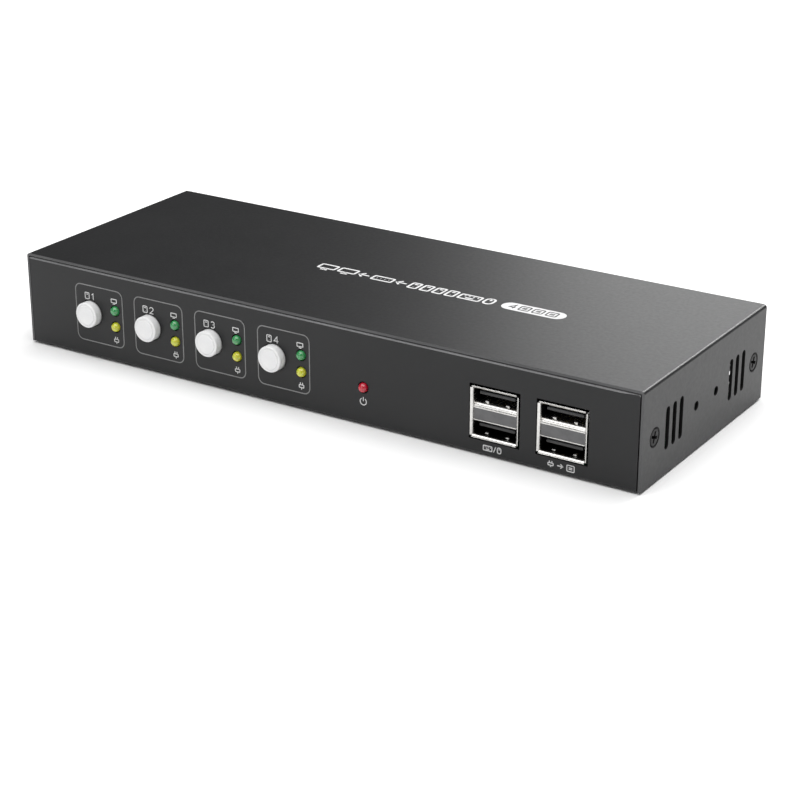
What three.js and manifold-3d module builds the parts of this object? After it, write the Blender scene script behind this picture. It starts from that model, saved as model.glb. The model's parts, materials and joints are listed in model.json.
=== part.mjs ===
// A desktop KVM switch for four computers and two displays, in a folded steel case.
//
// The case is two folded sheets: a chassis (front panel, floor, rear panel) and a cover (top and
// both sides), held by four countersunk screws. Inside, a main board carries the lower row of
// video sockets, the four square data sockets and the two stacked data sockets. An upper board on
// four hex standoffs carries the upper row of video sockets. A button board stands behind the
// front panel with four push switches and nine lamps. A rocker switches the power at the rear.
//
// Millimetres. +Z is up, -Y is the front, +X is the right when the front is seen. The origin is
// the centre of the floor's underside. Every socket is drawn facing -Y, so the rear ones sit in a
// group turned half round about Z.

import * as THREE from "three";
import { mergeVertices } from "three/addons/utils/BufferGeometryUtils.js";
import Module from "manifold-3d";

const wasm = await Module();
wasm.setup();

// ---------------------------------------------------------------- driving dimensions

const WIDTH = 210;
const DEPTH = 78.6;
const HEIGHT = 29;
const SHEET = 0.8; // thickness of the steel
const BEND_RADIUS = 1.1; // outside of every fold
const GAP = 0.3; // clearance between neighbouring pieces

// The chassis sits inside the cover's three sides, its panels a little proud of the cover's edges.
const PANEL_FACE = DEPTH / 2; // distance of a panel's face from the middle
const COVER_EDGE = PANEL_FACE - 0.15;
const CHASSIS_HALF = WIDTH / 2 - SHEET - GAP;
const CHASSIS_TOP = HEIGHT - SHEET - GAP;
const THROUGH_PANEL = [-DEPTH, -PANEL_FACE + 3]; // the range along Y of a cut in a panel

// Four side screws, with vents and a pair of bracket holes between them.
const SCREW_FROM_END = 7.4;
const SIDE_HOLE_Z = 13.7;
const VENTS_FROM_END = [14.9, 19.1, 23.3];
const VENT_WIDTH = 2.3;
const VENT_HEIGHT = 12.4;
const BRACKET_HOLE_RADIUS = 1.4;
const BRACKET_HOLE_SPACING = 12.7;
const SCREW_HEAD_RADIUS = 2.65;
const SCREW_SHANK_RADIUS = 1.35;
const SCREW_Y = DEPTH / 2 - SCREW_FROM_END;

// Boards, as the heights of their undersides.
const BOARD = 1.6;
const MAIN_BOARD_Z = 2.7;
const UPPER_BOARD_Z = 17.9;
const BOARD_HALF_X = 101;
const BOARD_HALF_Y = 36.4;
const UPPER_BOARD_X = [-BOARD_HALF_X, 78];
const UPPER_BOARD_FRONT = -17;
const BUTTON_BOARD_X = [-90.5, 24];
const BUTTON_BOARD_Y = -31; // its front face
const BUTTON_BOARD_TOP = 24;
const STANDOFF_X = [-96, 74];
const STANDOFF_Y = [-12, 20];
const STUD_RADIUS = 1.5;
const BOSS_RADIUS = 3;
const SLOT_HALF_WIDTH = 0.4; // of the cross in a screw's head
const CHIP_HEIGHT = 1.4;

// Front panel: four channels, each a button and two lamps, then the power lamp and two sockets.
const CHANNELS = 4;
const CHANNEL_PITCH = 22.7;
const FIRST_BUTTON_X = -80.55;
const BUTTON_Z = 14.05;
const CAP_RADIUS = 3.95;
const CAP_PROUD = 2.35; // how far a cap stands out of the panel
const CAP_LENGTH = 5.2;
const STEM_RADIUS = 1.4;
const STEM_LENGTH = 3;
const SWITCH_SIZE = 7;
const SWITCH_DEPTH = 3.3;
const LAMP_FROM_BUTTON = 9.7;
const GREEN_LAMP_Z = 16.7;
const YELLOW_LAMP_Z = 11.55;
const LAMP_RADIUS = 1.5;
const LAMP_PROUD = 1.4;
const POWER_LAMP = { x: 18.4, z: 11.4 };
const STACKED_SOCKET_X = [60.8, 81.55];
const STACKED_SOCKET_Z = 12.4;

// Rear panel, as seen from behind: five columns of two video sockets, one display column and
// four computer columns, each computer column with a square data socket on its left.
const COLUMN_PITCH = 38.25;
const FIRST_COLUMN_X = -63.85;
const VIDEO_ROWS = { a: 7.5, b: 22.7 };
const SQUARE_FROM_COLUMN = -18;
const SQUARE_SOCKET_Z = 10.25;
const ROCKER = { x: -91.65, z: 15.8 };
const POWER_SOCKET = { x: -91.4, z: 7 };
const RIM_PROUD = 0.4; // how far a socket's mouth stands out of its panel

// ---------------------------------------------------------------- materials

const finish = (color, roughness, metalness) =>
  new THREE.MeshStandardMaterial({ color, roughness, metalness });
const blackPaint = finish(0x3a3b3d, 0.5, 0.2);
const blackScrew = finish(0x1b1b1d, 0.35, 0.8);
const bareSteel = finish(0xbfc1c4, 0.3, 1);
const brass = finish(0xb89a55, 0.35, 1);
const boardGreen = finish(0x14402a, 0.5, 0);
const blackPlastic = finish(0x151516, 0.5, 0);
const whitePlastic = finish(0xe9e9ea, 0.4, 0);
const greenLens = finish(0x3fa85a, 0.2, 0);
const yellowLens = finish(0xd8d030, 0.2, 0);
const redLens = finish(0xc81e3c, 0.2, 0);

// ---------------------------------------------------------------- solids and meshes

/** A closed geometry as a solid that can be joined and cut. */
function solidOf(geometry) {
  const bare = geometry.clone();
  bare.deleteAttribute("normal");
  bare.deleteAttribute("uv");
  const merged = mergeVertices(bare, 1e-4);
  return new wasm.Manifold(
    new wasm.Mesh({
      numProp: 3,
      vertProperties: new Float32Array(merged.attributes.position.array),
      triVerts: new Uint32Array(merged.index.array),
    }),
  );
}

/** A solid as a geometry that a mesh can hold. */
function geometryOf(solid) {
  const { numProp, vertProperties, triVerts } = solid.getMesh();
  const interleaved = new THREE.InterleavedBuffer(vertProperties, numProp);
  const geometry = new THREE.BufferGeometry();
  geometry.setAttribute(
    "position",
    new THREE.InterleavedBufferAttribute(interleaved, 3, 0),
  );
  geometry.setIndex(new THREE.BufferAttribute(triVerts, 1));
  return geometry;
}

/** A box between two corners, given as its range along each axis. */
function block([x0, x1], [y0, y1], [z0, z1]) {
  const geometry = new THREE.BoxGeometry(x1 - x0, y1 - y0, z1 - z0);
  geometry.translate((x0 + x1) / 2, (y0 + y1) / 2, (z0 + z1) / 2);
  return solidOf(geometry);
}

/** A box centred on x and z, from y0 to y1. */
const bar = (width, height, y0, y1, x = 0, z = 0) =>
  block([x - width / 2, x + width / 2], [y0, y1], [z - height / 2, z + height / 2]);

/** An outline drawn in X and Z, extruded from y0 to y1. */
function extrudeAlongY(shape, y0, y1) {
  const geometry = new THREE.ExtrudeGeometry(shape, {
    depth: y1 - y0,
    bevelEnabled: false,
    curveSegments: 6,
  });
  geometry.rotateX(Math.PI / 2);
  geometry.translate(0, y1, 0);
  return solidOf(geometry);
}

/** An outline drawn in Y and Z, extruded from x0 to x1. */
function extrudeAlongX(shape, x0, x1) {
  const geometry = new THREE.ExtrudeGeometry(shape, {
    depth: x1 - x0,
    bevelEnabled: false,
    curveSegments: 6,
  });
  const yAxis = new THREE.Vector3(0, 1, 0);
  const zAxis = new THREE.Vector3(0, 0, 1);
  const xAxis = new THREE.Vector3(1, 0, 0);
  geometry.applyMatrix4(new THREE.Matrix4().makeBasis(yAxis, zAxis, xAxis));
  geometry.translate(x0, 0, 0);
  return solidOf(geometry);
}

/** A solid of revolution about Z. The profile is [radius, z] pairs, from axis to axis, rising. */
const turned = (profile, segments) =>
  solidOf(
    new THREE.LatheGeometry(
      profile.map(([radius, z]) => new THREE.Vector2(radius, z)),
      segments,
    ).rotateX(Math.PI / 2),
  );

/** The same, with the profile's heights measured along +Y instead. */
const turnedAlongY = (profile, segments) => turned(profile, segments).rotate([-90, 0, 0]);

/** A plain rod along Z, from z0 to z1. */
const rod = (radius, z0, z1, segments = 16) =>
  turned([[0, z0], [radius, z0], [radius, z1], [0, z1]], segments);

/** A plain rod along Y, from y0 to y1. */
const rodAlongY = (radius, y0, y1, segments = 16) =>
  turnedAlongY([[0, y0], [radius, y0], [radius, y1], [0, y1]], segments);

/** An outline drawn in X and Y, extruded along Z and centred on z = 0. */
function uprightPrism(shape, height) {
  const options = { depth: height, bevelEnabled: false, curveSegments: 8 };
  return solidOf(new THREE.ExtrudeGeometry(shape, options)).translate([0, 0, -height / 2]);
}

const joined = (solids) => solids.reduce((sum, solid) => sum.add(solid));
const cut = (solid, tools) => tools.reduce((rest, tool) => rest.subtract(tool), solid);
const halfTurn = (solid) => solid.rotate([0, 0, 180]);
const shapeOf = (points) =>
  new THREE.Shape(points.map(([x, y]) => new THREE.Vector2(x, y)));

/** The two crossed slots of a screw's head, from z0 upwards. */
const crossSlots = (arm, z0) => [
  block([-arm, arm], [-SLOT_HALF_WIDTH, SLOT_HALF_WIDTH], [z0, z0 + 3]),
  block([-SLOT_HALF_WIDTH, SLOT_HALF_WIDTH], [-arm, arm], [z0, z0 + 3]),
];

/** A named mesh at a place in its group. */
function piece(name, solid, material, [x, y, z] = [0, 0, 0]) {
  const mesh = new THREE.Mesh(geometryOf(solid), material);
  mesh.name = name;
  mesh.position.set(x, y, z);
  return mesh;
}

// ---------------------------------------------------------------- the case

/** A channel section: two upright walls joined by a web, with round folds. Drawn web downwards. */
function channelShape(halfWidth, wallHeight) {
  const inner = halfWidth - SHEET;
  const innerRadius = BEND_RADIUS - SHEET;
  const outerCorner = halfWidth - BEND_RADIUS;
  const shape = new THREE.Shape();
  shape.moveTo(-halfWidth, wallHeight);
  shape.lineTo(-halfWidth, BEND_RADIUS);
  shape.absarc(-outerCorner, BEND_RADIUS, BEND_RADIUS, Math.PI, 1.5 * Math.PI, false);
  shape.lineTo(outerCorner, 0);
  shape.absarc(outerCorner, BEND_RADIUS, BEND_RADIUS, 1.5 * Math.PI, 2 * Math.PI, false);
  shape.lineTo(halfWidth, wallHeight);
  shape.lineTo(inner, wallHeight);
  shape.lineTo(inner, BEND_RADIUS);
  shape.absarc(outerCorner, BEND_RADIUS, innerRadius, 2 * Math.PI, 1.5 * Math.PI, true);
  shape.lineTo(-outerCorner, SHEET);
  shape.absarc(-outerCorner, BEND_RADIUS, innerRadius, 1.5 * Math.PI, Math.PI, true);
  shape.lineTo(-inner, wallHeight);
  return shape;
}

/** An upright slot with round ends, drawn in Y and Z. */
function slotShape(centreY, centreZ, width, height) {
  const radius = width / 2;
  const straight = height / 2 - radius;
  const shape = new THREE.Shape();
  shape.absarc(centreY, centreZ + straight, radius, 0, Math.PI, false);
  shape.absarc(centreY, centreZ - straight, radius, Math.PI, 2 * Math.PI, false);
  return shape;
}

/** The cuts in the cover's right side; the left side's are the same ones turned half round. */
function sideCuts() {
  const through = [WIDTH / 2 - 3, WIDTH / 2 + 1];
  const vents = VENTS_FROM_END.flatMap((fromEnd) =>
    [-1, 1].map((end) => {
      const shape = slotShape(end * (DEPTH / 2 - fromEnd), SIDE_HOLE_Z, VENT_WIDTH, VENT_HEIGHT);
      return extrudeAlongX(shape, ...through);
    }),
  );
  const bracketHoles = [-1, 1].map((end) =>
    rod(BRACKET_HOLE_RADIUS, -3, 1, 16)
      .rotate([0, 90, 0])
      .translate([WIDTH / 2, (end * BRACKET_HOLE_SPACING) / 2, SIDE_HOLE_Z]),
  );
  const mouth = SCREW_HEAD_RADIUS + GAP;
  const throat = mouth - SHEET;
  const countersinks = [-1, 1].map((end) =>
    turned([[0, -2], [throat, -2], [throat, -SHEET], [mouth, 0], [mouth, 1], [0, 1]], 24)
      .rotate([0, 90, 0])
      .translate([WIDTH / 2, end * SCREW_Y, SIDE_HOLE_Z]),
  );
  return [...vents, ...bracketHoles, ...countersinks];
}

function topCover() {
  const wall = HEIGHT - GAP;
  const sheet = extrudeAlongY(channelShape(WIDTH / 2, wall), -COVER_EDGE, COVER_EDGE)
    .rotate([0, 180, 0])
    .translate([0, 0, HEIGHT]);
  const right = sideCuts();
  return cut(sheet, [...right, ...right.map(halfTurn)]);
}

/** The outline of a video socket: wide and square above, tapering below. */
function videoOutline(grow) {
  const half = { wide: 7 + grow, narrow: 4.9 + grow * 0.45 };
  const top = 2.275 + grow;
  const shoulder = -0.75 - grow * 0.4;
  return shapeOf([
    [-half.narrow, -top],
    [half.narrow, -top],
    [half.wide, shoulder],
    [half.wide, top],
    [-half.wide, top],
    [-half.wide, shoulder],
  ]);
}
const VIDEO_RIM = 0.6;

/** The outline of a square data socket's mouth: its upper corners are cut off. */
function squareOutline(grow) {
  const half = { x: 4.225 + grow, z: 3.89 + grow };
  const corner = 1.65;
  return shapeOf([
    [-half.x, -half.z],
    [half.x, -half.z],
    [half.x, half.z - corner],
    [half.x - corner, half.z],
    [corner - half.x, half.z],
    [-half.x, half.z - corner],
  ]);
}
const SQUARE_SHELL = { width: 11.8, height: 10.6, depth: 16.2 };
const STACKED_SHELL = { width: 13.4, height: 14.8, depth: 17.4 };
const STACKED_RIM = { width: 15.2, height: 15.6 };
const ROCKER_BODY = { width: 12.9, height: 8.3 };
const POWER_SHELL = { width: 7.8, height: 3, depth: 5.6 };

const channelX = (index) => FIRST_BUTTON_X + index * CHANNEL_PITCH;
const columnX = (index) => FIRST_COLUMN_X + index * COLUMN_PITCH;

/** The lamps of the front panel as {name, x, z, material}. */
function lampPlaces() {
  const places = [];
  for (let i = 0; i < CHANNELS; i++) {
    const x = channelX(i) + LAMP_FROM_BUTTON;
    places.push({ name: `green_lamp_${i + 1}`, x, z: GREEN_LAMP_Z, material: greenLens });
    places.push({ name: `yellow_lamp_${i + 1}`, x, z: YELLOW_LAMP_Z, material: yellowLens });
  }
  places.push({ name: "power_lamp", ...POWER_LAMP, material: redLens });
  return places;
}

/** The ten video sockets of the rear panel as {name, x, z}. Computer 1 is the last column. */
function videoPlaces() {
  const places = [];
  for (let column = 0; column <= CHANNELS; column++) {
    const use = column === 0 ? "out" : `in_${CHANNELS + 1 - column}`;
    for (const [row, z] of Object.entries(VIDEO_ROWS)) {
      places.push({ name: `video_${use}_${row}`, x: columnX(column), z });
    }
  }
  return places;
}

/** The four square data sockets of the rear panel as {number, x}. */
const squarePlaces = () =>
  [1, 2, 3, 4].map((column) => ({
    number: CHANNELS + 1 - column,
    x: columnX(column) + SQUARE_FROM_COLUMN,
  }));

/** The holes in the front panel. */
function frontCuts() {
  const cuts = lampPlaces().map(({ x, z }) =>
    rodAlongY(LAMP_RADIUS + GAP, ...THROUGH_PANEL, 14).translate([x, 0, z]),
  );
  for (let i = 0; i < CHANNELS; i++) {
    const hole = rodAlongY(CAP_RADIUS + GAP, ...THROUGH_PANEL, 28);
    cuts.push(hole.translate([channelX(i), 0, BUTTON_Z]));
  }
  for (const x of STACKED_SOCKET_X) {
    const { width, height } = STACKED_RIM;
    cuts.push(bar(width + 2 * GAP, height + 2 * GAP, ...THROUGH_PANEL, x, STACKED_SOCKET_Z));
  }
  return cuts;
}

/** The holes in the rear panel, in the group that is turned half round. */
function rearCuts() {
  const hole = ({ width, height }) => bar(width + 2 * GAP, height + 2 * GAP, ...THROUGH_PANEL);
  const video = extrudeAlongY(videoOutline(VIDEO_RIM + GAP), ...THROUGH_PANEL);
  const square = hole(SQUARE_SHELL);
  const cuts = videoPlaces().map(({ x, z }) => video.translate([x, 0, z]));
  cuts.push(...squarePlaces().map(({ x }) => square.translate([x, 0, SQUARE_SOCKET_Z])));
  cuts.push(hole(ROCKER_BODY).translate([ROCKER.x, 0, ROCKER.z]));
  cuts.push(hole(POWER_SHELL).translate([POWER_SOCKET.x, 0, POWER_SOCKET.z]));
  return cuts;
}

/** The two ears at the right ends of the panels, which the side screws bite into. */
function screwEars() {
  const reach = SCREW_FROM_END + 5;
  const halfHeight = 7.2;
  const heights = [SIDE_HOLE_Z - halfHeight, SIDE_HOLE_Z + halfHeight];
  return [-1, 1].map((end) => {
    const outer = end * (PANEL_FACE - SHEET / 2);
    const inner = end * (DEPTH / 2 - reach);
    const y = [Math.min(outer, inner), Math.max(outer, inner)];
    const hole = rod(SCREW_SHANK_RADIUS + GAP, -3, 3, 16)
      .rotate([0, 90, 0])
      .translate([CHASSIS_HALF, end * SCREW_Y, SIDE_HOLE_Z]);
    return block([CHASSIS_HALF - SHEET, CHASSIS_HALF], y, heights).subtract(hole);
  });
}

function baseChassis() {
  const sheet = extrudeAlongX(channelShape(PANEL_FACE, CHASSIS_TOP), -CHASSIS_HALF, CHASSIS_HALF);
  const panels = cut(sheet, [...frontCuts(), ...rearCuts().map(halfTurn)]);
  const right = screwEars();
  const bosses = STANDOFF_X.flatMap((x) =>
    STANDOFF_Y.map((y) =>
      rod(BOSS_RADIUS, SHEET / 2, MAIN_BOARD_Z - GAP, 16)
        .subtract(rod(STUD_RADIUS + GAP, SHEET, MAIN_BOARD_Z, 12))
        .translate([x, y, 0]),
    ),
  );
  return joined([panels, ...right, ...right.map(halfTurn), ...bosses]);
}

/** A countersunk cross-head screw along X, its head at x = 0 and its shank towards -X. */
function coverScrew() {
  const head = SCREW_HEAD_RADIUS;
  const sunk = 0.1;
  const under = -SHEET - sunk;
  const neck = head - SHEET + 0.1;
  const tip = -6;
  const body = turned(
    [[0, tip], [1, tip], [SCREW_SHANK_RADIUS, tip + 0.5], [SCREW_SHANK_RADIUS, under],
      [neck, under], [head, -sunk], [0, -sunk]],
    18,
  );
  return cut(body, crossSlots(1.5, -1.1)).rotate([0, 90, 0]);
}

function caseGroup() {
  const group = new THREE.Group();
  group.add(piece("base_chassis", baseChassis(), blackPaint));
  group.add(piece("top_cover", topCover(), blackPaint));
  const screw = coverScrew();
  for (const [side, x] of [["right", WIDTH / 2], ["left", -WIDTH / 2]]) {
    for (const [end, y] of [["front", -SCREW_Y], ["rear", SCREW_Y]]) {
      const mesh = piece(`cover_screw_${side}_${end}`, screw, blackScrew, [x, y, SIDE_HOLE_Z]);
      mesh.rotation.z = side === "left" ? Math.PI : 0;
      group.add(mesh);
    }
  }
  return group;
}

// ---------------------------------------------------------------- the boards

const standoffPlaces = () => STANDOFF_X.flatMap((x) => STANDOFF_Y.map((y) => [x, y]));

/** A board between two heights, drilled for the standoffs' studs, with its chips soldered on. */
function drilledBoard([x0, x1], [y0, y1], z, chips) {
  const top = z + BOARD;
  const holes = standoffPlaces().map(([x, y]) =>
    rod(STUD_RADIUS + GAP, z - 1, top + 1, 12).translate([x, y, 0]),
  );
  const board = cut(block([x0, x1], [y0, y1], [z, top]), holes);
  const packages = chips.map(([x, y, size]) =>
    block([x - size / 2, x + size / 2], [y - size / 2, y + size / 2], [top - 0.2, top + CHIP_HEIGHT]),
  );
  return joined([board, ...packages]);
}

/** A hex spacer with a stud below, which goes through the main board into its boss. */
function hexStandoff() {
  const bottom = MAIN_BOARD_Z + BOARD + GAP;
  const top = UPPER_BOARD_Z - GAP;
  const cornerRadius = 3.1;
  const threadDepth = 6;
  const hex = rod(cornerRadius, bottom, top, 6);
  const stud = rod(STUD_RADIUS, SHEET + GAP, bottom + 1, 12);
  const thread = rod(STUD_RADIUS + GAP, top - threadDepth, top + 1, 12);
  return hex.add(stud).subtract(thread);
}

/** A pan-head cross screw along Z, its head resting just above z = 0. */
function panScrew() {
  const head = { radius: 2.7, crown: 2, edge: 1.4, top: 2.1 };
  const tip = -5.5;
  const body = turned(
    [[0, tip], [STUD_RADIUS, tip], [STUD_RADIUS, GAP], [head.radius, GAP],
      [head.radius, head.edge], [head.crown, head.top], [0, head.top]],
    14,
  );
  return cut(body, crossSlots(1.4, 1));
}

function boardsGroup() {
  const group = new THREE.Group();
  const mainChips = [[-52, 4, 14], [-8, 10, 16], [34, 4, 14]]; // x, y and size
  const upperChips = [[-60, 8, 14], [-16, 12, 14], [30, 8, 14]];
  const wholeX = [-BOARD_HALF_X, BOARD_HALF_X];
  const wholeY = [-BOARD_HALF_Y, BOARD_HALF_Y];
  const upperY = [UPPER_BOARD_FRONT, BOARD_HALF_Y];
  const mainBoard = drilledBoard(wholeX, wholeY, MAIN_BOARD_Z, mainChips);
  const upperBoard = drilledBoard(UPPER_BOARD_X, upperY, UPPER_BOARD_Z, upperChips);
  const mainTop = MAIN_BOARD_Z + BOARD + GAP;
  const buttonBoardY = [BUTTON_BOARD_Y, BUTTON_BOARD_Y + BOARD];
  const buttonBoard = block(BUTTON_BOARD_X, buttonBoardY, [mainTop, BUTTON_BOARD_TOP]);
  const linkConnector = block([-40, 10], [-9, -4], [mainTop, UPPER_BOARD_Z - GAP]);
  group.add(piece("main_board", mainBoard, boardGreen));
  group.add(piece("upper_board", upperBoard, boardGreen));
  group.add(piece("button_board", buttonBoard, boardGreen));
  group.add(piece("board_link_connector", linkConnector, blackPlastic));
  const standoff = hexStandoff();
  const screw = panScrew();
  standoffPlaces().forEach(([x, y], i) => {
    group.add(piece(`board_standoff_${i + 1}`, standoff, brass, [x, y, 0]));
    group.add(piece(`board_screw_${i + 1}`, screw, bareSteel, [x, y, UPPER_BOARD_Z + BOARD]));
  });
  return group;
}

// ---------------------------------------------------------------- buttons and lamps

/** A round cap with a moulded stem. Its front face is at y = 0 and the stem runs to +Y. */
function buttonCap() {
  const edge = 0.5;
  const stemEnd = CAP_LENGTH + STEM_LENGTH;
  return turnedAlongY(
    [[0, 0], [CAP_RADIUS - edge, 0], [CAP_RADIUS - edge * 0.3, edge * 0.3], [CAP_RADIUS, edge],
      [CAP_RADIUS, CAP_LENGTH], [STEM_RADIUS, CAP_LENGTH], [STEM_RADIUS, stemEnd], [0, stemEnd]],
    24,
  );
}

/** A push switch's housing, bored for the stem. Its back is at y = 0, against the board. */
function switchHousing() {
  const bore = rodAlongY(STEM_RADIUS + GAP, -SWITCH_DEPTH - 1, 1, 14);
  return bar(SWITCH_SIZE, SWITCH_SIZE, -SWITCH_DEPTH, 0).subtract(bore);
}

/** A round lamp with a flange at its back, y = 0, and a dome at its front. */
function lampBody(length) {
  const flange = LAMP_RADIUS + 0.35;
  const dome = -length + LAMP_RADIUS;
  const profile = [[0, -length]];
  for (const angle of [0.25, 0.6, 1.05]) {
    profile.push([LAMP_RADIUS * Math.sin(angle), dome - LAMP_RADIUS * Math.cos(angle)]);
  }
  profile.push([LAMP_RADIUS, dome], [LAMP_RADIUS, -1], [flange, -1], [flange, 0], [0, 0]);
  return turnedAlongY(profile, 12);
}

function controlsGroup() {
  const group = new THREE.Group();
  const cap = buttonCap();
  const housing = switchHousing();
  const boardFace = BUTTON_BOARD_Y - GAP;
  for (let i = 0; i < CHANNELS; i++) {
    const x = channelX(i);
    const capPlace = [x, -PANEL_FACE - CAP_PROUD, BUTTON_Z];
    group.add(piece(`button_cap_${i + 1}`, cap, whitePlastic, capPlace));
    group.add(piece(`button_switch_${i + 1}`, housing, blackPlastic, [x, boardFace, BUTTON_Z]));
  }
  const lamp = lampBody(boardFace + PANEL_FACE + LAMP_PROUD);
  for (const { name, x, z, material } of lampPlaces()) {
    group.add(piece(name, lamp, material, [x, boardFace, z]));
  }
  return group;
}

// ---------------------------------------------------------------- sockets, all facing -Y

/** A video socket: a steel shell, closed behind, round a flat contact tongue. Mouth at y = 0. */
function videoSocket() {
  const depth = 11.6;
  const shell = extrudeAlongY(videoOutline(VIDEO_RIM), 0, depth);
  const hollow = extrudeAlongY(videoOutline(0), -1, depth - 1.8);
  const tongue = bar(11.4, 1.7, 1.2, depth - 1, 0, 0.7);
  return shell.subtract(hollow).add(tongue);
}

/** The steel shell of a square data socket, with a cut-cornered mouth at y = 0. */
function squareShell() {
  const { width, height, depth } = SQUARE_SHELL;
  const mouth = extrudeAlongY(squareOutline(0), -1, depth - 1);
  return bar(width, height, 0, depth).subtract(mouth.translate([0, 0, -0.2]));
}

/** The moulded insert of a square data socket: a base that fills the shell, and a tongue. */
function squareInsert() {
  const { depth } = SQUARE_SHELL;
  const base = extrudeAlongY(squareOutline(-GAP), 8.6, depth - 1 - GAP).translate([0, 0, -0.2]);
  return base.add(bar(6, 4, 0.7, 9, 0, 0.1));
}

const STACKED_PITCH = 9.4;
const STACKED_MOUTH = { width: 12.5, height: 5.1 };
const STACKED_CAVITY = { width: 12.2, height: 14, from: 10.6 };

/** A block that narrows from one rectangle at y0 to another at y1. */
function taper(front, back, y0, y1) {
  const geometry = new THREE.BoxGeometry(1, 1, 1);
  const position = geometry.attributes.position;
  for (let i = 0; i < position.count; i++) {
    const atBack = position.getY(i) > 0;
    const size = atBack ? back : front;
    position.setXYZ(
      i,
      position.getX(i) * size.width,
      atBack ? y1 : y0,
      position.getZ(i) * size.height,
    );
  }
  return solidOf(geometry);
}

/** The shell of two stacked data sockets: flared lips round two mouths, open at the back. */
function stackedShell() {
  const lip = 0.9;
  const flare = 0.6;
  const body = taper(STACKED_RIM, STACKED_SHELL, 0, 1.2).add(
    bar(STACKED_SHELL.width, STACKED_SHELL.height, 1.2, STACKED_SHELL.depth),
  );
  const { width, height } = STACKED_MOUTH;
  const wide = { width: width + 2 * flare, height: height + 2 * flare };
  const mouth = bar(width, height, -1, STACKED_CAVITY.from + 1).add(
    taper(wide, STACKED_MOUTH, -0.01, lip),
  );
  const cavity = bar(
    STACKED_CAVITY.width,
    STACKED_CAVITY.height,
    STACKED_CAVITY.from,
    STACKED_SHELL.depth + 1,
  );
  const mouths = [-0.5, 0.5].map((row) => mouth.translate([0, 0, row * STACKED_PITCH]));
  return cut(body, [...mouths, cavity]);
}

/** The moulded insert of the stacked sockets: a block in the cavity, and a tongue in each mouth. */
function stackedInsert() {
  const from = STACKED_CAVITY.from + GAP;
  const width = STACKED_CAVITY.width - 2 * GAP;
  const height = STACKED_CAVITY.height - 2 * GAP;
  const core = bar(width, height, from, STACKED_SHELL.depth - GAP);
  const tongue = bar(11.1, 1.84, 1.5, from + 1, 0, 1.1);
  const tongues = [-0.5, 0.5].map((row) => tongue.translate([0, 0, row * STACKED_PITCH]));
  return joined([core, ...tongues]);
}

/** The small power socket: a flat shell, closed behind, round a thin contact tongue. */
function powerSocket() {
  const { width, height, depth } = POWER_SHELL;
  const half = { wide: 3.45, narrow: 2.7 };
  const top = 0.95;
  const hollow = extrudeAlongY(
    shapeOf([
      [-half.narrow, -top],
      [half.narrow, -top],
      [half.wide, 0],
      [half.wide, top],
      [-half.wide, top],
      [-half.wide, 0],
    ]),
    -1,
    depth - 1,
  );
  const tongue = bar(3.6, 0.6, 0.8, depth - 0.5, 0, 0.35);
  return bar(width, height, 0, depth).subtract(hollow).add(tongue);
}

// ---------------------------------------------------------------- the rocker switch

const BEZEL = { width: 14.2, height: 9.4, proud: 1.8 };
const WELL = { width: 11.7, height: 7.2, depth: 9 };
const BODY_BEHIND_PANEL = 12;
const ROCKER_THROW = 25; // degrees, from off to on
const FACE_SLOPE = 4.5; // degrees that each half of the face rises towards its end
const FACE_FROM_PIVOT = 2.4; // at the middle of the face
const ROCKER_RADIUS = WELL.width / 2 - GAP; // of its round ends, about the pivot
const ROCKER_HEIGHT = WELL.height - 2 * GAP;
const PIVOT_RADIUS = 1;
const PIVOT_REACH = ROCKER_HEIGHT / 2 + 0.75; // from the middle to a pin's end

/** The switch's frame: a bezel on the panel, and a deep body with a well. Panel face at y = 0. */
function rockerFrame() {
  const bezel = bar(BEZEL.width, BEZEL.height, -BEZEL.proud, -GAP);
  const body = bar(ROCKER_BODY.width, ROCKER_BODY.height, -GAP - 1, SHEET + BODY_BEHIND_PANEL);
  const well = bar(WELL.width, WELL.height, -DEPTH, WELL.depth - BEZEL.proud);
  const pivotHole = rod(PIVOT_RADIUS + GAP, -PIVOT_REACH - GAP, PIVOT_REACH + GAP, 14);
  return cut(bezel.add(body), [well, pivotHole]);
}

/** The rocker about its pivot: a face of two flat halves, round ends, and a pin above and below. */
function rockerKey() {
  // A half of the face ends where its straight line, y = f + s x, meets the circle of the ends.
  const s = Math.tan(THREE.MathUtils.degToRad(FACE_SLOPE));
  const f = FACE_FROM_PIVOT;
  const endX = (Math.sqrt((1 + s * s) * ROCKER_RADIUS ** 2 - f * f) - f * s) / (1 + s * s);
  const endAngle = Math.atan2(f + s * endX, endX);
  const backAngle = -0.35;
  const shape = new THREE.Shape();
  shape.moveTo(0, f);
  shape.lineTo(-endX, f + s * endX);
  shape.absarc(0, 0, ROCKER_RADIUS, Math.PI - endAngle, Math.PI - backAngle, false);
  shape.absarc(0, 0, ROCKER_RADIUS, backAngle, endAngle, false);
  const body = uprightPrism(shape, ROCKER_HEIGHT);
  const pin = rod(PIVOT_RADIUS, -PIVOT_REACH, PIVOT_REACH, 12);
  return halfTurn(body.add(pin));
}

// ---------------------------------------------------------------- both ends of the case

function frontSockets() {
  const group = new THREE.Group();
  const shell = stackedShell();
  const insert = stackedInsert();
  STACKED_SOCKET_X.forEach((x, i) => {
    const place = [x, -PANEL_FACE - RIM_PROUD, STACKED_SOCKET_Z];
    group.add(piece(`stacked_socket_shell_${i + 1}`, shell, bareSteel, place));
    group.add(piece(`stacked_socket_insert_${i + 1}`, insert, blackPlastic, place));
  });
  return group;
}

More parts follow.
